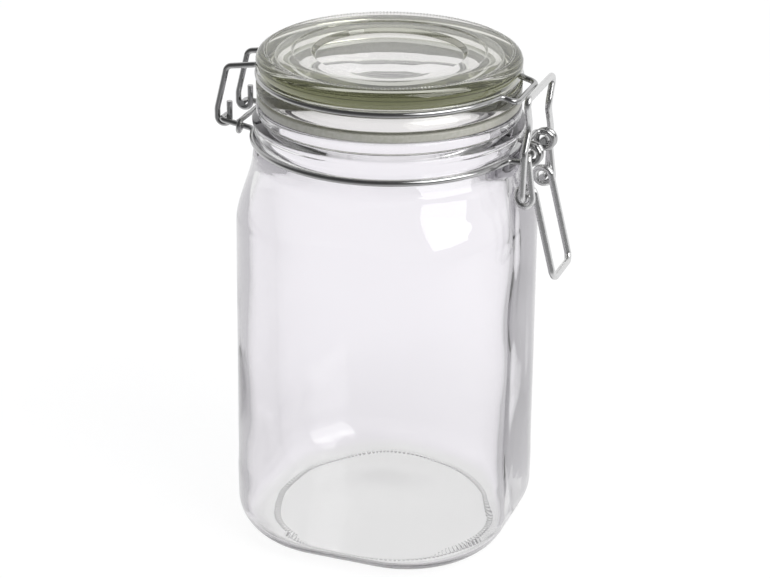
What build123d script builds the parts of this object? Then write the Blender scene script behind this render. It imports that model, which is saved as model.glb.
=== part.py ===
from build123d import *
from math import asin, cos, radians, sin
import os

# A wire bail storage jar of about one litre: a rounded square glass body with a round neck, a pressed
# glass lid on a rubber ring, and a wire closure with a hinge on one side and a toggle latch on the other.
# Millimetres, +Z up, origin at the middle of the base, +X towards the latch, -X towards the hinge.

# Jar body, outside
base_width = 97.0
base_flat = 24.0
shoulder_width = 97.0
shoulder_flat = 19.0
shoulder_z = 114.0
shoulder_levels = 6
neck_root_z = 137.0
neck_root_overlap = 9.0
neck_ledge = 0.3
neck_flat = 1.2
foot_fillet = 12.0

# Jar body, inside
wall = 3.6
floor_thickness = 4.0
floor_fillet = 5.0
neck_wall = 4.1

# Hollow under the base, inside the ring that the jar stands on
hollow_radius = 34.0
hollow_depth = 1.2
hollow_slope = 5.0

# Jar neck
neck_radius = 45.1
bead_proud = 0.9
bead_height = 3.4
bead_drop = 6.0
neck_waist_depth = 1.7
rim_set_in = 0.8
rim_height = 3.2
rim_lip = 0.8
rim_z = 155.0
rim_fillet = 1.2

# Wires
hoop_wire = 2.0
latch_wire = 2.3
tie_wire = 1.8
seat_clearance = 0.25
side_clearance = 0.3
hoop_bend = 2.5
latch_bend = 2.0
run_off_angle = 5.0
loop_share = 0.97

# Rubber ring
gasket_thickness = 2.65
gasket_set_in = 0.2
gasket_clearance = 0.15
gasket_fillet = 0.6
seal_gap = 0.05

# Glass lid
lid_set_in = 0.9
lid_height = 14.45
lid_top_fillet = 3.0
lid_foot_land = 0.3
lid_foot_rise = 1.2
lid_foot_fillet = 0.4
plug_clearance = 1.0
plug_depth = 5.2
plug_taper = 0.8
plug_fillet = 0.4
plug_wall = 2.0
lid_hollow_fillet = 0.6
lid_web = 4.65
lid_web_rise = 1.5
lid_web_run = 10.0
step_radius = 32.3
step_depth = 0.5
recess_radius = 25.8
recess_slope = 1.2
recess_depth = 1.6
recess_fillet = 0.5

# Lid hoop, with its nose at the latch and its two hooks at the hinge
lid_hoop_seat = 0.6
lid_hoop_rise = 6.75
nose_half_width = 11.1
nose_standoff = 4.0
nose_drop = 1.5
hook_half_width = 8.9
hook_clearance = 0.25
hook_elbow_set_in = 1.5
hook_elbow_drop = 2.0
hook_knee_rise = 3.0
hook_stub_rise = 6.0
knee_bend = 6.0

# Hinge pins, on the ends of the neck hoop
hinge_standoff = 10.7
hinge_rise = 1.9
pin_overhang = 1.5
pin_bend = 1.6

# Neck hoop and its two coils, which carry the lever
neck_hoop_proud = 0.5
neck_hoop_drop = 12.7
coil_radius = 2.9
coil_standoff = 6.5
coil_half_width = 9.2
coil_gap = 0.15
coil_bar_setback = 2.6
coil_bar_bend = 2.0

# Hinge tie, which holds the two ends of the neck hoop together
tie_standoff = 3.0
tie_clearance = 0.25
tie_step = 0.65
tie_tail = 0.9

# Lever
lever_clearance = 0.4
lever_pin_end = 4.5
lever_arm = 14.0
eye_setback = 0.7
eye_radius = 3.0
eye_lead = 5.25
eye_gap = 0.15
handle_out = 10.2
handle_drop = 28.2
handle_bend = 3.0

# Stirrup
stirrup_spread = 3.25
stirrup_lean = 0.7
stirrup_pin_overhang = 0.25
stirrup_knee = 16.0
stirrup_waist = 24.3
stirrup_waist_depth = 4.5
stirrup_waist_bend = 5.0
bar_rise = 2.55

# Worked out from the above
mouth_radius = neck_radius - neck_wall
bead_z = rim_z - bead_drop
bead_radius = neck_radius + bead_proud
rim_radius = neck_radius - rim_set_in
lid_radius = neck_radius - lid_set_in
gasket_radius = lid_radius - gasket_set_in
plug_radius = mouth_radius - plug_clearance
lid_hoop_radius = lid_radius - lid_hoop_seat
neck_hoop_radius = neck_radius + neck_hoop_proud
neck_hoop_z = rim_z - neck_hoop_drop
hinge_reach = neck_hoop_radius + hinge_standoff
tie_reach = neck_hoop_radius + tie_standoff
coil_reach = neck_hoop_radius + coil_standoff
gasket_z = rim_z + seal_gap
gasket_top_z = gasket_z + gasket_thickness
lid_z = gasket_top_z
lid_top_z = lid_z + lid_height
lid_hoop_z = lid_z + lid_hoop_rise
hinge_z = neck_hoop_z + hinge_rise
hook_radius = hoop_wire + hook_clearance
ear_half_width = hook_half_width + hoop_wire + side_clearance
coil_z = neck_hoop_z + coil_radius
eye_x = coil_reach - eye_setback
eye_z = coil_z - lever_arm
eye_step = latch_wire + eye_gap
nose_z = lid_hoop_z - nose_drop
lever_half_width = coil_half_width + hoop_wire / 2 + lever_clearance + latch_wire / 2
stirrup_half_width = lever_half_width + stirrup_spread
stirrup_pin_end = lever_half_width - eye_step - latch_wire / 2 - stirrup_pin_overhang
stirrup_length = nose_z + bar_rise - eye_z


def turned(points, rounds=None):
    """An outline of radius and height turned about the jar's axis, with some corners rounded by index."""
    outline = make_face(Polyline(*points, close=True))
    for index, radius in (rounds or {}).items():
        corner = outline.vertices().sort_by_distance(points[index])[0]
        outline = fillet(corner, radius)
    return revolve(Rot(90, 0, 0) * outline, Axis.Z)


def groove(radius, z):
    """The rounded channel that a hoop lies in."""
    section = Pos(radius, 0, z) * Rot(90, 0, 0) * Circle(hoop_wire / 2 + seat_clearance)
    return revolve(section, Axis.Z)


def bottom_edges(shape):
    """The edges of a shape's lowest face."""
    return shape.faces().sort_by(Axis.Z)[0].edges()


def mirrored(points):
    """A route given up to its middle, carried on by its mirror image across the XZ plane."""
    return points + [(x, -y, z) for x, y, z in reversed(points)]


def both_halves(bends):
    """The bends of a mirrored route."""
    return bends + bends[::-1]


def bent(points, bends):
    """Straight runs joined by tangent arcs, with one bend radius for each corner."""
    return FilletPolyline(*points, radius=bends).edges()


def drawn_wire(edges, diameter):
    """A round wire along a chain of edges."""
    path = Wire(edges)
    section = Plane(origin=path @ 0, z_dir=path % 0) * Circle(diameter / 2)
    return sweep(section, path=path).solid()


# Where a hoop's wire leaves its circle
def leave_angle(radius, half_width):
    """The angle from the X axis at which a hoop ends, a little before the line y = half_width."""
    return asin(half_width / radius) + radians(run_off_angle)


def leave_point(radius, half_width, z, side):
    """The end of a hoop's arc on its -Y half, at the hinge (side -1) or at the latch (side 1)."""
    angle = leave_angle(radius, half_width)
    return (side * radius * cos(angle), -radius * sin(angle), z)


def leave_corner(radius, half_width, z, side):
    """Where the hoop, run on straight from the end of its arc, turns away along y = -half_width."""
    angle = leave_angle(radius, half_width)
    run = (radius * sin(angle) - half_width) / cos(angle)
    return (side * (radius * cos(angle) + run * sin(angle)), -half_width, z)


def half_hoop(radius, z, hinge_half_width, latch_half_width, half):
    """One half of a hoop, on the -Y side (half 1) or on the +Y side (half -1)."""
    ends = [leave_point(radius, hinge_half_width, z, -1), (0, -radius, z),
            leave_point(radius, latch_half_width, z, 1)]
    return ThreePointArc(*[(x, half * y, z) for x, y, z in ends]).edges()


def closure_hoop(radius, z, hinge_end, hinge_bends, latch_end, latch_bends):
    """A hoop from one free end at the hinge, round the jar and over the latch, to the other free end."""
    hinge_half = -hinge_end[-1][1]
    latch_half = -latch_end[0][1]
    near_end = hinge_end + [leave_point(radius, hinge_half, z, -1)]
    far_end = [(x, -y, z) for x, y, z in reversed(near_end)]
    front = mirrored([leave_point(radius, latch_half, z, 1)] + latch_end)
    edges = list(bent(near_end, hinge_bends))
    edges += half_hoop(radius, z, hinge_half, latch_half, 1)
    edges += bent(front, both_halves(latch_bends))
    edges += half_hoop(radius, z, hinge_half, latch_half, -1)
    edges += bent(far_end, hinge_bends[::-1])
    return drawn_wire(edges, hoop_wire)


# Jar body
def body_form(inset, floor_z, neck):
    """The body with its walls moved in by inset, from a floor up to an almost round neck."""
    foot = (base_width - 2 * inset, base_flat)
    shoulder = (shoulder_width - 2 * inset, shoulder_flat)
    top = (2 * neck, neck_flat)

    def outline(width, flat, z):
        """A square with flats of that length between its rounded corners."""
        return Pos(0, 0, z) * RectangleRounded(width, width, (width - flat) / 2)

    def level(share):
        """One outline of the shoulder, which starts and ends upright."""
        ease = share * share * (3 - 2 * share)
        width, flat = (low + ease * (high - low) for low, high in zip(shoulder, top))
        return outline(width, flat, shoulder_z + share * (neck_root_z - shoulder_z))

    wall_form = loft([outline(*foot, floor_z), level(0)], ruled=True)
    return wall_form + loft([level(index / (shoulder_levels - 1)) for index in range(shoulder_levels)])


def make_neck():
    """The solid neck, from inside the shoulder up to the rim."""
    bead_low = bead_z - bead_height / 2
    bead_high = bead_z + bead_height / 2
    root_z = neck_root_z - neck_root_overlap
    waist = neck_radius - neck_waist_depth
    rim_low = rim_z - rim_height
    points = [(0, root_z), (mouth_radius, root_z), (neck_radius, neck_root_z), (neck_radius, bead_low),
              (bead_radius, bead_z), (waist, bead_high), (waist, rim_low - rim_lip), (rim_radius, rim_low),
              (rim_radius, rim_z), (0, rim_z)]
    return turned(points, {4: bead_height / 3, 8: rim_fillet})


def make_jar_body():
    outside = body_form(0, 0, neck_radius + neck_ledge)
    outside = fillet(bottom_edges(outside), foot_fillet) + make_neck()
    inside = body_form(wall, floor_thickness, mouth_radius - neck_ledge)
    inside = fillet(bottom_edges(inside), floor_fillet)
    mouth_base = neck_root_z - neck_root_overlap
    mouth = turned([(0, mouth_base), (mouth_radius, mouth_base), (mouth_radius, lid_z), (0, lid_z)])
    hollow_top = hollow_radius - hollow_slope
    hollow = turned([(0, 0), (hollow_radius, 0), (hollow_top, hollow_depth), (0, hollow_depth)])
    return (outside - inside - mouth - hollow - groove(neck_hoop_radius, neck_hoop_z)).solid()


# Lid and its rubber ring
def make_gasket():
    bore = plug_radius + gasket_clearance
    points = [(bore, gasket_z), (gasket_radius, gasket_z),
              (gasket_radius, gasket_top_z), (bore, gasket_top_z)]
    return turned(points, {1: gasket_fillet, 2: gasket_fillet}).solid()


def make_lid():
    plug_z = lid_z - plug_depth
    step_z = lid_top_z - step_depth
    recess_z = step_z - recess_depth
    web_z = recess_z - lid_web
    hollow = plug_radius - plug_wall
    points = [(0, web_z), (hollow - lid_web_run, web_z), (hollow, web_z + lid_web_rise), (hollow, plug_z),
              (plug_radius - plug_taper, plug_z), (plug_radius, rim_z), (plug_radius, lid_z),
              (plug_radius + lid_foot_land, lid_z),
              (lid_radius, lid_z + lid_foot_rise), (lid_radius, lid_top_z), (step_radius, lid_top_z),
              (step_radius - step_depth, step_z), (recess_radius, step_z),
              (recess_radius - recess_slope, recess_z), (0, recess_z)]
    rounds = {2: lid_hollow_fillet, 3: plug_fillet, 4: plug_fillet, 8: lid_foot_fillet, 9: lid_top_fillet,
              12: recess_fillet, 13: recess_fillet}
    return (turned(points, rounds) - groove(lid_hoop_radius, lid_hoop_z)).solid()


def make_lid_hoop():
    """One wire: a hook on a hinge pin, half the lid, the nose, the other half and the other hook."""
    y = -hook_half_width
    inner = -hinge_reach + hook_radius
    outer = -hinge_reach - hook_radius
    low = hinge_z - hook_radius
    elbow = hook_elbow_set_in - hinge_reach
    hinge_end = [(inner, y, hinge_z + hook_stub_rise), (inner, y, low), (outer, y, low),
                 (outer, y, hinge_z + hook_knee_rise), (elbow, y, lid_hoop_z - hook_elbow_drop),
                 leave_corner(lid_hoop_radius, hook_half_width, lid_hoop_z, -1)]
    turn = loop_share * hook_radius
    latch_end = [leave_corner(lid_hoop_radius, nose_half_width, lid_hoop_z, 1),
                 (lid_hoop_radius + nose_standoff, -nose_half_width, nose_z)]
    return closure_hoop(lid_hoop_radius, lid_hoop_z, hinge_end, [turn, turn, knee_bend, hoop_bend, hoop_bend],
                        latch_end, [hoop_bend, hoop_bend])


# Neck hoop and hinge tie
def ear_corner():
    """Where the neck hoop turns out from the neck towards a hinge pin."""
    return leave_corner(neck_hoop_radius, ear_half_width, neck_hoop_z, -1)


def coil_corners():
    """The corners of one coil, from the neck round one turn and a half to the bar between the coils."""
    left = coil_reach - coil_radius
    right = coil_reach + coil_radius
    low = coil_z - coil_radius
    high = coil_z + coil_radius
    places = [(right, low, 0), (right, high, 1), (left, high, 2), (left, low, 3), (right, low, 3),
              (right, high, 4), (coil_reach - coil_bar_setback, high, 5)]
    step = (hoop_wire + coil_gap) / 3
    return [(x, step * steps - coil_half_width, z) for x, z, steps in places]


def make_neck_hoop():
    """One wire: a hinge pin, half the neck, a coil, the bar, the other coil, half the neck, a hinge pin."""
    pin_end = hook_half_width - hoop_wire / 2 - pin_overhang
    hinge_end = [(-hinge_reach, -pin_end, hinge_z), (-hinge_reach, -ear_half_width, hinge_z), ear_corner()]
    coil = coil_corners()
    latch_end = [leave_corner(neck_hoop_radius, coil_half_width, neck_hoop_z, 1)] + coil
    turns = [loop_share * coil_radius] * (len(coil) - 1)
    return closure_hoop(neck_hoop_radius, neck_hoop_z, hinge_end, [pin_bend, hoop_bend],
                        latch_end, [hoop_bend] + turns + [coil_bar_bend])


def make_hinge_tie():
    """A link with an eye round each end of the neck hoop, which keeps the hoop closed at the hinge."""
    radius = hoop_wire / 2 + tie_clearance + tie_wire / 2
    ear_x = ear_corner()[0]

    def place(steps, side, rise):
        x = -tie_reach - steps * tie_step
        ear_z = neck_hoop_z + hinge_rise * (ear_x - x) / (ear_x + hinge_reach)
        return (x, -ear_half_width + side * radius, ear_z + rise)

    near = [place(3, 1, tie_tail), place(2, 1, -radius), place(1, -1, -radius), place(0, -1, radius)]
    turns = [loop_share * radius] * (len(near) - 1)
    return drawn_wire(bent(mirrored(near), both_halves(turns)), tie_wire)


# Toggle latch
def make_lever():
    """One wire: a pin in a coil, an arm, an eye, a leg of the handle, the grip, and the same again."""
    left = eye_x - eye_radius
    right = eye_x + eye_radius
    low = eye_z - eye_radius
    high = eye_z + eye_radius
    step = eye_step / 3
    near = [(coil_reach, -lever_pin_end, coil_z), (coil_reach, -lever_half_width, coil_z)]
    places = [(right, low, 0), (left, low, 1), (left, high, 2), (left + eye_lead, high, 3)]
    near += [(x, step * steps - lever_half_width, z) for x, z, steps in places]
    near.append((eye_x + handle_out, near[-1][1], eye_z - handle_drop))
    turns = [loop_share * eye_radius] * 4
    return drawn_wire(bent(mirrored(near), both_halves([latch_bend] + turns + [handle_bend])), latch_wire)


def make_stirrup():
    """One wire: a pin in an eye of the lever, a leg drawn in at its waist, the bar, and the same again."""
    def place(height, half_width):
        return (eye_x + stirrup_lean * height / stirrup_length, -half_width, eye_z + height)

    waist = stirrup_half_width - stirrup_waist_depth
    near = [place(0, stirrup_pin_end), place(0, stirrup_half_width), place(stirrup_knee, stirrup_half_width),
            place(stirrup_waist, waist), place(stirrup_length, stirrup_half_width)]
    bends = [latch_bend, stirrup_waist_bend, stirrup_waist_bend, latch_bend]
    return drawn_wire(bent(mirrored(near), both_halves(bends)), latch_wire)


PIECES = {
    "jar_body": make_jar_body,
    "neck_hoop": make_neck_hoop,
    "hinge_tie": make_hinge_tie,
    "lid": make_lid,
    "gasket": make_gasket,
    "lid_hoop": make_lid_hoop,
    "lever": make_lever,
    "stirrup": make_stirrup,
}

os.makedirs("parts", exist_ok=True)
for name, make in PIECES.items():
    export_step(make(), f"parts/{name}.step")
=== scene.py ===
from math import acos, atan2, cos, exp, pi, radians, sin, sqrt, tan

import bpy
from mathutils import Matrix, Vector, noise


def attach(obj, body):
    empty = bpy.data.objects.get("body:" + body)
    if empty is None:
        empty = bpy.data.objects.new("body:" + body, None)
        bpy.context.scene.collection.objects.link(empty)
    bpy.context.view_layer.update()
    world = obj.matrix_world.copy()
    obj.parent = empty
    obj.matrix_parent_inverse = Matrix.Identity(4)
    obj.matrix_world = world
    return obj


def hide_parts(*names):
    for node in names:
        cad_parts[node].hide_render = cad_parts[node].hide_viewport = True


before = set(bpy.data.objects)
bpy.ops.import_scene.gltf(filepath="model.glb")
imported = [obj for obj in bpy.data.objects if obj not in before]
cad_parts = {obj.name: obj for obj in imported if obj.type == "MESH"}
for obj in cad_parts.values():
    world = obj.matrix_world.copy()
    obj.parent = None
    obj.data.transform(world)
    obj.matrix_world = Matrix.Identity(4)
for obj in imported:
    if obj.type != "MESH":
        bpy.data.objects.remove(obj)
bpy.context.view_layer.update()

# Sizes are in millimetres, as in the part's source, and meshes are made in metres.
MM = 0.001

# Jar body. A square value is how far the middles of the corner arcs lie from the axis.
base_half = 48.5
shoulder_half = 48.5
shoulder_z = 114.0
neck_root_z = 137.0
base_square = 12.0
shoulder_square = 9.5
neck_square = 0.6
neck_ledge = 0.3
foot_fillet = 12.0
foot_land = 0.5
wall = 3.6
floor_z = 4.0
floor_fillet = 5.0
floor_land = 1.0
floor_ring_radii = (26.0, 15.0)
floor_ring_squareness = 0.5
mouth_radius = 41.0
mouth_fillet = 1.0
hollow_radius = 34.0
hollow_depth = 1.2

# Jar neck
neck_radius = 45.1
bead_radius = 46.0
bead_z = 149.0
bead_height = 3.4
bead_fillet = 1.1
neck_waist_radius = 43.4
neck_waist_z = 151.0
neck_waist_fillet = 0.6
rim_radius = 44.3
rim_height = 3.2
rim_z = 155.0
rim_fillet = 1.2
neck_hoop_radius = 45.6
neck_hoop_z = 142.3
groove_radius = 1.25

# Rubber ring
gasket_z = 155.05
gasket_top_z = 157.7
gasket_radius = 44.0
gasket_fillet = 0.6
gasket_grip = 0.05

# Glass lid
lid_z = gasket_top_z
lid_top_z = 172.15
lid_radius = 44.2
lid_top_fillet = 3.0
lid_foot_land = 0.3
lid_foot_rise = 1.2
lid_foot_fillet = 0.4
lid_hoop_radius = 43.6
lid_hoop_z = 164.45
plug_radius = 40.0
plug_taper = 0.8
plug_z = 152.5
plug_fillet = 0.4
plug_root_fillet = 0.2
lid_hollow_radius = 38.0
lid_hollow_fillet = 0.6
web_z = 165.4
web_rise = 1.5
web_run = 10.0
step_radius = 32.3
step_z = 171.65
recess_radius = 25.8
recess_slope = 1.2
recess_z = 170.05
recess_fillet = 0.5

# Rings of pressed marks: dots round the top of the lid, and short ribs under the foot.
# Each size is half the length towards the axis, half the width and half the height.
lid_dot_size = (0.5, 0.36, 0.5)
lid_dots_radius = 41.0
lid_dots_count = 220
foot_rib_size = (1.3, 0.55, 0.7)
foot_ribs_radius = 38.6
foot_ribs_count = 160

# Unevenness of the moulded glass: waves inside and outside, and more glass in the corner behind the latch
inner_wave = 0.5
inner_wave_size = 26.0
outer_wave = 0.05
outer_wave_size = 34.0
thick_depth = 2.0
thick_angle = radians(28)
thick_width = radians(24)
thick_sway = radians(16)
thick_sway_size = 45.0
thick_swell = 0.6
thick_swell_size = 36.0

# Fineness of the meshes
quadrant_steps = 48
lathe_steps = 288
arc_step = radians(12)
groove_steps = 10
dome_levels = 12
wall_levels = 40
shoulder_levels = 16
mark_sides = 10
mark_levels = 6
fan_share = 0.5

# Finishes
white = (1, 1, 1, 1)
glass_ior = 1.51
glass_density = 45
jar_tint = (0.85, 0.845, 0.855, 1)
# The lid glass is tinted olive as a painted reflection of the rubber ring that shows through it
rubber_reflection_tint = (0.59, 0.60, 0.455, 1)
rubber_ior = 1.5
rubber_roughness = 0.4
rubber_color = (0.425, 0.42, 0.37, 1)
rubber_dark = (0.38, 0.375, 0.32, 1)
rubber_light = (0.47, 0.46, 0.42, 1)
rubber_span = (0.3, 0.7)
# One steel in two greys: the hoops get painted shade and the latch gets painted light
hoop_shaded_grey = 0.48
latch_lit_grey = 0.7
noise_span = (0.35, 0.65)

# Studio, in metres. Each slope is a start, an end, and the levels at them.
room_color = (0.9, 0.92, 0.95, 1)
room_strength = 0.6
high_level = 0.85
low_level = 0.5
ceiling_slope = (0.3, 0.8, 1.0, 0.7)
room_slope = (-0.3, 0.6, 0.1, 1.0)
stage_half = 2.0
stage_drop = -0.0003
stage_grey = 0.8
stage_shade = 0.15
stage_white = 0.905
front_slope = (-0.3, 0.0, 0.15, 0.85)
# Painted shadow: the floor seen through the glass glows less near the jar's axis
near_shadow_slope = (0.06, 0.2, 0.79, 0.90)
aside_slope = (0.04, 0.055, 0.0, 1.0)
below_color = (1.0, 1.0, 0.995, 1)
aside_color = (1.0, 0.972, 1.02, 1)
key_place = (0.86, -0.30, 0.82)
key_target = (0, 0, 0.1)
key_size = 0.9
key_power = 9

# Camera, in metres, with its lens and sensor in millimetres
camera_place = (0.2498, -0.6886, 0.4075)
camera_target = (-0.00077, -0.00028, 0.08584)
camera_roll = radians(0.52)
camera_lens = 108.6
camera_sensor = 36.0
camera_clip = 0.01

# Light paths: enough for rays that are turned back many times inside the glass
glass_bounces = 32
all_bounces = 48


# Outlines
def rounded(points):
    """A chain of (radius, z, fillet) points, with each corner turned into an arc of that fillet."""
    chain = []
    for index, (r, z, fillet) in enumerate(points):
        if fillet == 0 or index in (0, len(points) - 1):
            chain.append((r, z))
            continue
        corner = Vector((r, z))
        before = (Vector(points[index - 1][:2]) - corner).normalized()
        after = (Vector(points[index + 1][:2]) - corner).normalized()
        half = acos(max(-1.0, min(1.0, before.dot(after)))) / 2
        middle = corner + (before + after).normalized() * (fillet / sin(half))
        start = corner + before * (fillet / tan(half)) - middle
        sweep = pi - 2 * half
        side = 1 if start.y * before.x - start.x * before.y > 0 else -1
        steps = max(2, round(sweep / arc_step))
        for step in range(steps + 1):
            turn = side * sweep * step / steps
            chain.append((middle.x + start.x * cos(turn) - start.y * sin(turn),
                          middle.y + start.x * sin(turn) + start.y * cos(turn)))
    return chain


def hoop_groove(radius, centre_radius, z):
    """The channel for a hoop in an upright face, as outline points from its lower edge up."""
    half = acos((centre_radius - radius) / groove_radius)
    points = []
    for step in range(groove_steps + 1):
        angle = half * (2 * step / groove_steps - 1)
        points.append((centre_radius - groove_radius * cos(angle), z + groove_radius * sin(angle), 0))
    return points


def shoulder_share(z):
    """How far a height is up the shoulder, from 0 to 1, eased at both ends."""
    share = min(1, (z - shoulder_z) / (neck_root_z - shoulder_z))
    return share * share * (3 - 2 * share)


def wall_half(z):
    """Half the outside width of the body at a height."""
    if z <= shoulder_z:
        return base_half + (shoulder_half - base_half) * z / shoulder_z
    return shoulder_half + (neck_radius + neck_ledge - shoulder_half) * shoulder_share(z)


def wall_square(z):
    """How far the middles of the corner arcs lie from the axis at a height: 0 where the jar is round."""
    if z <= shoulder_z:
        return base_square + (shoulder_square - base_square) * z / shoulder_z
    return shoulder_square + (neck_square - shoulder_square) * shoulder_share(z)


def inner_half(z):
    """Half the inside width of the body at a height."""
    if z <= shoulder_z:
        return wall_half(z) - wall
    start = shoulder_half - wall
    return start + (mouth_radius - neck_ledge - start) * shoulder_share(z)


def spread(low, high, count):
    """Evenly spaced values between two ends, without the ends."""
    return [low + (high - low) * index / count for index in range(1, count)]


# Unevenness
def push(point, away):
    """A point moved straight out from the axis."""
    x, y, z = point
    reach = sqrt(x * x + y * y)
    return (x + away * x / reach, y + away * y / reach, z)


def still(point):
    """A point of an even surface, left where it is."""
    return point


def outer(point):
    """A point of the outside, moved by its slight waves."""
    return push(point, outer_wave * noise.noise(Vector(point) / outer_wave_size))


def inner(point):
    """A point of the inside, moved by its waves, and inwards at the thicker corner behind the latch."""
    x, y, z = waved = push(point, inner_wave * noise.noise(Vector(point) / inner_wave_size))
    centre = thick_angle + thick_sway * noise.noise(Vector((0, 0, z / thick_sway_size)))
    swell = 1 + thick_swell * noise.noise(Vector((z / thick_swell_size, 0, 0)))
    away = thick_depth * swell * exp(-((atan2(y, x) - centre) / thick_width) ** 2)
    return push(waved, -away)


# Meshes
def new_piece(name, vertices, faces, body, node=None):
    """A smooth mesh piece in metres that rides on a body and may stand for a CAD node."""
    mesh = bpy.data.meshes.new(name)
    mesh.from_pydata([(x * MM, y * MM, z * MM) for x, y, z in vertices], [], faces)
    mesh.validate()
    mesh.shade_smooth()
    piece = bpy.data.objects.new(name, mesh)
    bpy.context.scene.collection.objects.link(piece)
    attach(piece, body)
    if node:
        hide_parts(node)
    return piece


def square_ring(half, square, z):
    """A ring of points round a square of that half width whose corner arcs have their middles at square."""
    radius = half - square
    arc = radius * pi / 2
    length = 2 * square + arc
    ring = []
    for quadrant in range(4):
        turn = quadrant * pi / 2
        for step in range(quadrant_steps):
            run = length * step / quadrant_steps
            if run < square:
                x, y = half, run
            elif run < square + arc:
                angle = (run - square) / radius
                x, y = square + radius * cos(angle), square + radius * sin(angle)
            else:
                x, y = length - run, half
            ring.append((x * cos(turn) - y * sin(turn), x * sin(turn) + y * cos(turn), z))
    return ring


def round_ring(radius, z):
    return [(radius * cos(2 * pi * step / lathe_steps), radius * sin(2 * pi * step / lathe_steps), z)
            for step in range(lathe_steps)]


def skin(rings, low_pole=None, high_pole=None, closed=False):
    """Faces between rings of equal counts, with a fan to a pole at either end or a join of last to first."""
    count = len(rings[0])
    vertices = [point for ring in rings for point in ring]
    faces = []
    pairs = [(index, index + 1) for index in range(len(rings) - 1)]
    if closed:
        pairs.append((len(rings) - 1, 0))
    for low, high in pairs:
        for step in range(count):
            after = (step + 1) % count
            faces.append((low * count + step, low * count + after, high * count + after, high * count + step))
    for pole, ring, flip in ((low_pole, 0, True), (high_pole, len(rings) - 1, False)):
        if pole is None:
            continue
        vertices.append(pole)
        tip = len(vertices) - 1
        for step in range(count):
            a, b = ring * count + step, ring * count + (step + 1) % count
            faces.append((b, a, tip) if flip else (a, b, tip))
    return vertices, faces


def make_jar():
    """The glass of the jar, from under the base, up the outside, over the rim and down the inside.

    Each station is a half width, the place of the corner arcs, a height and the unevenness there."""
    stations = []
    for level in range(1, dome_levels + 1):
        share = level / dome_levels
        stations.append((hollow_radius * share, 0, hollow_depth * (1 - share ** 2) ** 2, still))
    foot_top = 2 * foot_fillet
    foot = rounded([(base_half - foot_fillet - foot_land, 0, 0), (wall_half(0), 0, foot_fillet),
                    (wall_half(foot_top), foot_top, 0)])
    stations += [(half, base_square, z, outer) for half, z in foot]
    outside = spread(foot_top, shoulder_z, wall_levels) + spread(shoulder_z, neck_root_z, shoulder_levels)
    stations += [(wall_half(z), wall_square(z), z, outer) for z in outside]
    neck = [(neck_radius + neck_ledge, neck_root_z, 0), (neck_radius, neck_root_z + neck_ledge, 0)]
    neck += hoop_groove(neck_radius, neck_hoop_radius, neck_hoop_z)
    neck += [(neck_radius, bead_z - bead_height / 2, bead_fillet), (bead_radius, bead_z, bead_fillet),
             (neck_waist_radius, bead_z + bead_height / 2, neck_waist_fillet),
             (neck_waist_radius, neck_waist_z, neck_waist_fillet),
             (rim_radius, rim_z - rim_height, neck_waist_fillet), (rim_radius, rim_z, rim_fillet),
             (mouth_radius, rim_z, mouth_fillet), (mouth_radius, neck_root_z, 0)]
    stations += [(radius, 0, z, still) for radius, z in rounded(neck)]
    floor_top = floor_z + 2 * floor_fillet
    inside = spread(neck_root_z, shoulder_z, shoulder_levels) + spread(shoulder_z, floor_top, wall_levels)
    stations += [(inner_half(z), wall_square(z), z, inner) for z in inside]
    floor_half = inner_half(floor_z)
    heel = rounded([(inner_half(floor_top), floor_top, 0), (floor_half, floor_z, floor_fillet),
                    (floor_half - floor_fillet - floor_land, floor_z, 0)])
    stations += [(half, base_square, z, inner) for half, z in heel]
    for radius in floor_ring_radii:
        square = base_square * radius / floor_half * floor_ring_squareness
        stations.append((radius, square, floor_z, still))
    rings = [[move(point) for point in square_ring(half, square, z)] for half, square, z, move in stations]
    vertices, faces = skin(rings, (0, 0, hollow_depth), (0, 0, floor_z))
    return new_piece("jar_glass", vertices, faces, "jar", "jar_body")


def make_lid():
    """The glass lid, from under its web, round the plug and the foot, up the outside and over the top."""
    web_radius = lid_hollow_radius - web_run
    outline = [(web_radius * fan_share, web_z, 0), (web_radius, web_z, 0),
               (lid_hollow_radius, web_z + web_rise, lid_hollow_fillet),
               (lid_hollow_radius, plug_z, plug_fillet), (plug_radius - plug_taper, plug_z, plug_fillet),
               (plug_radius, rim_z, plug_fillet), (plug_radius, lid_z, plug_root_fillet),
               (plug_radius + lid_foot_land, lid_z, 0), (lid_radius, lid_z + lid_foot_rise, lid_foot_fillet)]
    outline += hoop_groove(lid_radius, lid_hoop_radius, lid_hoop_z)
    step_drop = lid_top_z - step_z
    outline += [(lid_radius, lid_top_z, lid_top_fillet), (step_radius, lid_top_z, step_drop),
                (step_radius - step_drop, step_z, step_drop), (recess_radius, step_z, recess_fillet),
                (recess_radius - recess_slope, recess_z, recess_fillet),
                (recess_radius * fan_share, recess_z, 0)]
    rings = [round_ring(r, z) for r, z in rounded(outline)]
    vertices, faces = skin(rings, (0, 0, web_z), (0, 0, recess_z))
    return new_piece("lid_glass", vertices, faces, "closure_lid", "lid")


def make_gasket():
    """The rubber ring, pressed a little into the glass above it, so that it shows through the lid."""
    bore = plug_radius - gasket_grip
    top = gasket_top_z + gasket_grip
    outline = [(bore, top, 0), (bore, gasket_z, 0), (gasket_radius, gasket_z, gasket_fillet),
               (gasket_radius, top, gasket_fillet), (bore, top, 0)]
    rings = [round_ring(r, z) for r, z in rounded(outline)[:-1]]
    vertices, faces = skin(rings, closed=True)
    return new_piece("rubber_ring", vertices, faces, "closure_lid", "gasket")


def lid_dot_z(x, y):
    """The height of a dot that is pressed half into the flat ring on top of the lid."""
    return lid_top_z


def foot_rib_z(x, y):
    """The height of a rib that lies in the glass and touches the jar's underside."""
    across = max(0, abs(x) - base_square), max(0, abs(y) - base_square)
    inset = min(foot_fillet, base_half - base_square - sqrt(across[0] ** 2 + across[1] ** 2))
    underside = foot_fillet - sqrt(foot_fillet ** 2 - (foot_fillet - inset) ** 2)
    return underside + foot_rib_size[2]


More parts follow.
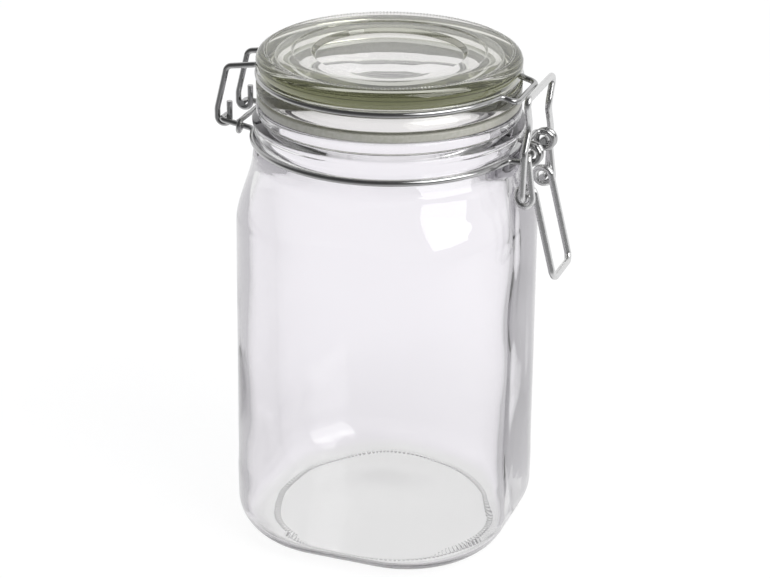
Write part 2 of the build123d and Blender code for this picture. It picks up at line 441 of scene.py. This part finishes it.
def mark_point(radius, turn, z, size, tilt, angle):
    """A point of a rounded mark that lies at a turn round the axis, by its tilt and angle in the mark."""
    out = radius + size[0] * cos(tilt) * cos(angle)
    along = size[1] * cos(tilt) * sin(angle)
    return (out * cos(turn) - along * sin(turn), out * sin(turn) + along * cos(turn), z + size[2] * sin(tilt))


def make_marks(name, radius, count, size, mark_z, body):
    """A ring of small rounded marks in the glass."""
    tilts = [pi * level / mark_levels - pi / 2 for level in range(1, mark_levels)]
    angles = [2 * pi * side / mark_sides for side in range(mark_sides)]
    vertices, faces = [], []
    for mark in range(count):
        turn = 2 * pi * mark / count
        z = mark_z(radius * cos(turn), radius * sin(turn))
        rings = [[mark_point(radius, turn, z, size, tilt, angle) for angle in angles] for tilt in tilts]
        poles = [mark_point(radius, turn, z, size, tilt, 0) for tilt in (-pi / 2, pi / 2)]
        points, patches = skin(rings, *poles)
        faces += [tuple(corner + len(vertices) for corner in patch) for patch in patches]
        vertices += points
    return new_piece(name, vertices, faces, body)


# Shader building
def settings(node, values):
    for key, value in values.items():
        node.inputs[key].default_value = value


def link(tree, *steps):
    """Links outputs to inputs, given as pairs."""
    for source, target in steps:
        tree.links.new(source, target)


def feed(tree, value, target):
    """Sets an input to a number, or links an output to it."""
    if isinstance(value, (int, float)):
        target.default_value = value
    else:
        link(tree, (value, target))


def calculate(tree, operation, first, second):
    """A sum, product or such of two values, each a socket or a number."""
    node = tree.nodes.new("ShaderNodeMath")
    node.operation = operation
    feed(tree, first, node.inputs[0])
    feed(tree, second, node.inputs[1])
    return node.outputs[0]


def slope(tree, source, start, end, low, high):
    """A value that runs smoothly from low to high as its source goes from start to end."""
    span = tree.nodes.new("ShaderNodeMapRange")
    span.interpolation_type = "SMOOTHSTEP"
    settings(span, {"From Min": start, "From Max": end, "To Min": low, "To Max": high})
    link(tree, (source, span.inputs["Value"]))
    return span.outputs["Result"]


def choose(tree, share, first, second):
    """The first shader where share is 0 and the second where it is 1."""
    mix = tree.nodes.new("ShaderNodeMixShader")
    link(tree, (share, mix.inputs["Fac"]), (first, mix.inputs[1]), (second, mix.inputs[2]))
    return mix.outputs[0]


def axes(tree, vector):
    """The x, y and z of a vector, by their letters."""
    parts = tree.nodes.new("ShaderNodeSeparateXYZ")
    link(tree, (vector, parts.inputs[0]))
    return parts.outputs


def ray_kinds(tree, level):
    """Shares that are 1 for camera rays, for rays let through by glass, and for mirrored rays, and a share
    that falls to a level for rays turned back inside the glass, which see the dimmer sides of the studio."""
    path = tree.nodes.new("ShaderNodeLightPath").outputs
    through = path["Is Transmission Ray"]
    mirrored = calculate(tree, "SUBTRACT", path["Is Glossy Ray"], through)
    mirrored = calculate(tree, "MAXIMUM", mirrored, 0.0)
    turned_back = slope(tree, path["Glossy Depth"], 0.0, 1.0, 1.0, level)
    return path["Is Camera Ray"], through, mirrored, turned_back


# Materials
def new_material(name):
    material = bpy.data.materials.new(name)
    material.use_nodes = True
    return material, material.node_tree, material.node_tree.nodes["Principled BSDF"]


def add_bump(tree, shader, scale, detail, strength, distance):
    """A fine unevenness of the surface, from noise in the object's own space."""
    place = tree.nodes.new("ShaderNodeTexCoord")
    grain = tree.nodes.new("ShaderNodeTexNoise")
    settings(grain, {"Scale": scale, "Detail": detail})
    bump = tree.nodes.new("ShaderNodeBump")
    settings(bump, {"Strength": strength, "Distance": distance})
    link(tree, (place.outputs["Object"], grain.inputs["Vector"]),
         (grain.outputs["Fac"], bump.inputs["Height"]), (bump.outputs["Normal"], shader.inputs["Normal"]))
    return grain


def vary(tree, source, target, low, high):
    """A shader value that runs from low to high with a texture."""
    span = tree.nodes.new("ShaderNodeMapRange")
    settings(span, {"From Min": noise_span[0], "From Max": noise_span[1], "To Min": low, "To Max": high})
    link(tree, (source.outputs["Fac"], span.inputs["Value"]), (span.outputs["Result"], target))


def glass_material(name, tint):
    """Clear glass that takes on a tint along the way of the light, which on the lid is a painted reflection
    of the rubber ring.
    """
    material, tree, shader = new_material(name)
    settings(shader, {"Base Color": white, "Roughness": 0.0, "IOR": glass_ior, "Transmission Weight": 1.0})
    grain = add_bump(tree, shader, scale=60, detail=2, strength=0.03, distance=0.0006)
    vary(tree, grain, shader.inputs["Roughness"], low=0.0, high=0.015)
    absorb = tree.nodes.new("ShaderNodeVolumeAbsorption")
    settings(absorb, {"Color": tint, "Density": glass_density})
    link(tree, (absorb.outputs["Volume"], tree.nodes["Material Output"].inputs["Volume"]))
    return material


def rubber_material():
    material, tree, shader = new_material("olive_rubber")
    settings(shader, {"Base Color": rubber_color, "Roughness": rubber_roughness, "IOR": rubber_ior})
    grain = add_bump(tree, shader, scale=900, detail=4, strength=0.1, distance=0.0002)
    vary(tree, grain, shader.inputs["Roughness"], low=0.32, high=0.5)
    ramp = tree.nodes.new("ShaderNodeValToRGB")
    for stop, place, color in zip(ramp.color_ramp.elements, rubber_span, (rubber_dark, rubber_light)):
        stop.position = place
        stop.color = color
    link(tree, (grain.outputs["Fac"], ramp.inputs["Fac"]),
         (ramp.outputs["Color"], shader.inputs["Base Color"]))
    return material


def wire_material(name, grey, smooth, rough):
    """Drawn wire whose roughness runs between two values."""
    material, tree, shader = new_material(name)
    settings(shader, {"Base Color": (grey, grey, grey, 1), "Metallic": 1.0, "Roughness": smooth})
    grain = add_bump(tree, shader, scale=700, detail=3, strength=0.03, distance=0.0001)
    vary(tree, grain, shader.inputs["Roughness"], smooth, rough)
    return material


# Stage
def make_world():
    """White to the camera and through glass, with a dim room above and behind the camera in reflections."""
    world = bpy.data.worlds.new("studio")
    world.use_nodes = True
    bpy.context.scene.world = world
    tree = world.node_tree
    light = tree.nodes["Background"]
    settings(light, {"Color": room_color, "Strength": room_strength})

    def backdrop(strength):
        node = tree.nodes.new("ShaderNodeBackground")
        settings(node, {"Color": white})
        feed(tree, strength, node.inputs["Strength"])
        return node.outputs[0]

    place = axes(tree, tree.nodes.new("ShaderNodeTexCoord").outputs["Generated"])
    ceiling = slope(tree, place["Z"], *ceiling_slope)
    room = slope(tree, place["Y"], *room_slope)
    camera, through, mirrored, turned_back = ray_kinds(tree, high_level)
    shown = choose(tree, camera, light.outputs[0], backdrop(1.0))
    shown = choose(tree, through, shown, backdrop(calculate(tree, "MULTIPLY", turned_back, ceiling)))
    shown = choose(tree, mirrored, shown, backdrop(calculate(tree, "MULTIPLY", room, ceiling)))
    link(tree, (shown, tree.nodes["World Output"].inputs["Surface"]))


def make_floor():
    """White to the camera, greyer under the jar through glass by a painted shadow, and dark in front in
    reflections.
    """
    mesh = bpy.data.meshes.new("floor")
    corners = ((-1, -1), (1, -1), (1, 1), (-1, 1))
    mesh.from_pydata([(stage_half * x, stage_half * y, stage_drop) for x, y in corners], [], [(0, 1, 2, 3)])
    floor = bpy.data.objects.new("floor", mesh)
    bpy.context.scene.collection.objects.link(floor)
    material = bpy.data.materials.new("white_floor")
    material.use_nodes = True
    tree = material.node_tree
    tree.nodes.remove(tree.nodes["Principled BSDF"])

    def matt(grey):
        node = tree.nodes.new("ShaderNodeBsdfDiffuse")
        settings(node, {"Color": (grey, grey, grey, 1)})
        return node.outputs[0]

    def glow(strength, color):
        node = tree.nodes.new("ShaderNodeEmission")
        settings(node, {"Color": color})
        feed(tree, strength, node.inputs["Strength"])
        return node.outputs[0]

    def shaded(strength, color=white):
        node = tree.nodes.new("ShaderNodeAddShader")
        link(tree, (matt(stage_shade), node.inputs[0]), (glow(strength, color), node.inputs[1]))
        return node.outputs[0]

    place = tree.nodes.new("ShaderNodeNewGeometry").outputs["Position"]
    reach = tree.nodes.new("ShaderNodeVectorMath")
    reach.operation = "LENGTH"
    link(tree, (place, reach.inputs[0]))
    front = slope(tree, axes(tree, place)["Y"], *front_slope)
    # A painted shadow round the jar, in the floor's glow through the glass
    near_shadow = slope(tree, reach.outputs["Value"], *near_shadow_slope)
    aside = slope(tree, reach.outputs["Value"], *aside_slope)
    camera, through, mirrored, turned_back = ray_kinds(tree, low_level)
    near_shadow = calculate(tree, "MULTIPLY", near_shadow, turned_back)
    below = choose(tree, aside, shaded(near_shadow, below_color), shaded(near_shadow, aside_color))
    shown = choose(tree, camera, matt(stage_grey), shaded(stage_white))
    shown = choose(tree, through, shown, below)
    shown = choose(tree, mirrored, shown, shaded(front))
    link(tree, (shown, tree.nodes["Material Output"].inputs["Surface"]))
    floor.data.materials.append(material)


def aim(thing, place, target):
    thing.location = place
    thing.rotation_euler = (Vector(target) - Vector(place)).to_track_quat("-Z", "Y").to_euler()


def make_lamp(name, place, target, size, power):
    """A square lamp that the camera doesn't see."""
    data = bpy.data.lights.new(name, "AREA")
    data.size = size
    data.energy = power
    lamp = bpy.data.objects.new(name, data)
    bpy.context.scene.collection.objects.link(lamp)
    aim(lamp, place, target)
    lamp.visible_camera = False


def make_camera():
    """The camera that was fitted to the photo."""
    data = bpy.data.cameras.new("camera")
    data.lens = camera_lens
    data.sensor_width = camera_sensor
    data.sensor_fit = "HORIZONTAL"
    data.clip_start = camera_clip
    camera = bpy.data.objects.new("camera", data)
    bpy.context.scene.collection.objects.link(camera)
    aim(camera, camera_place, camera_target)
    camera.rotation_euler.rotate_axis("Z", camera_roll)
    bpy.context.scene.camera = camera


jar = make_jar()
lid = make_lid()
gasket = make_gasket()
lid_dots = make_marks("lid_dots", lid_dots_radius, lid_dots_count, lid_dot_size, lid_dot_z, "closure_lid")
foot_ribs = make_marks("foot_ribs", foot_ribs_radius, foot_ribs_count, foot_rib_size, foot_rib_z, "jar")

clear_glass = glass_material("clear_glass", jar_tint)
# The olive tint of the lid stands for the rubber ring seen in it: a painted reflection
pressed_glass = glass_material("pressed_glass", rubber_reflection_tint)
rubber = rubber_material()
for piece, finish in ((jar, clear_glass), (foot_ribs, clear_glass), (lid, pressed_glass),
                      (lid_dots, pressed_glass), (gasket, rubber)):
    piece.data.materials.append(finish)
# Painted shade on the hoops and painted light on the latch, for wires of one steel
hoop_wire = wire_material("hoop_wire", hoop_shaded_grey, smooth=0.12, rough=0.22)
latch_wire = wire_material("latch_wire", latch_lit_grey, smooth=0.16, rough=0.3)
for node, finish in (("neck_hoop", hoop_wire), ("hinge_tie", hoop_wire), ("lid_hoop", hoop_wire),
                     ("lever", latch_wire), ("stirrup", latch_wire)):
    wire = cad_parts[node].data
    wire.materials.clear()
    wire.materials.append(finish)

make_world()
make_floor()
make_lamp("key_light", key_place, key_target, key_size, key_power)
make_camera()
bpy.context.scene.view_settings.view_transform = "Standard"
bpy.context.scene.cycles.glossy_bounces = glass_bounces
bpy.context.scene.cycles.transmission_bounces = glass_bounces
bpy.context.scene.cycles.max_bounces = all_bounces
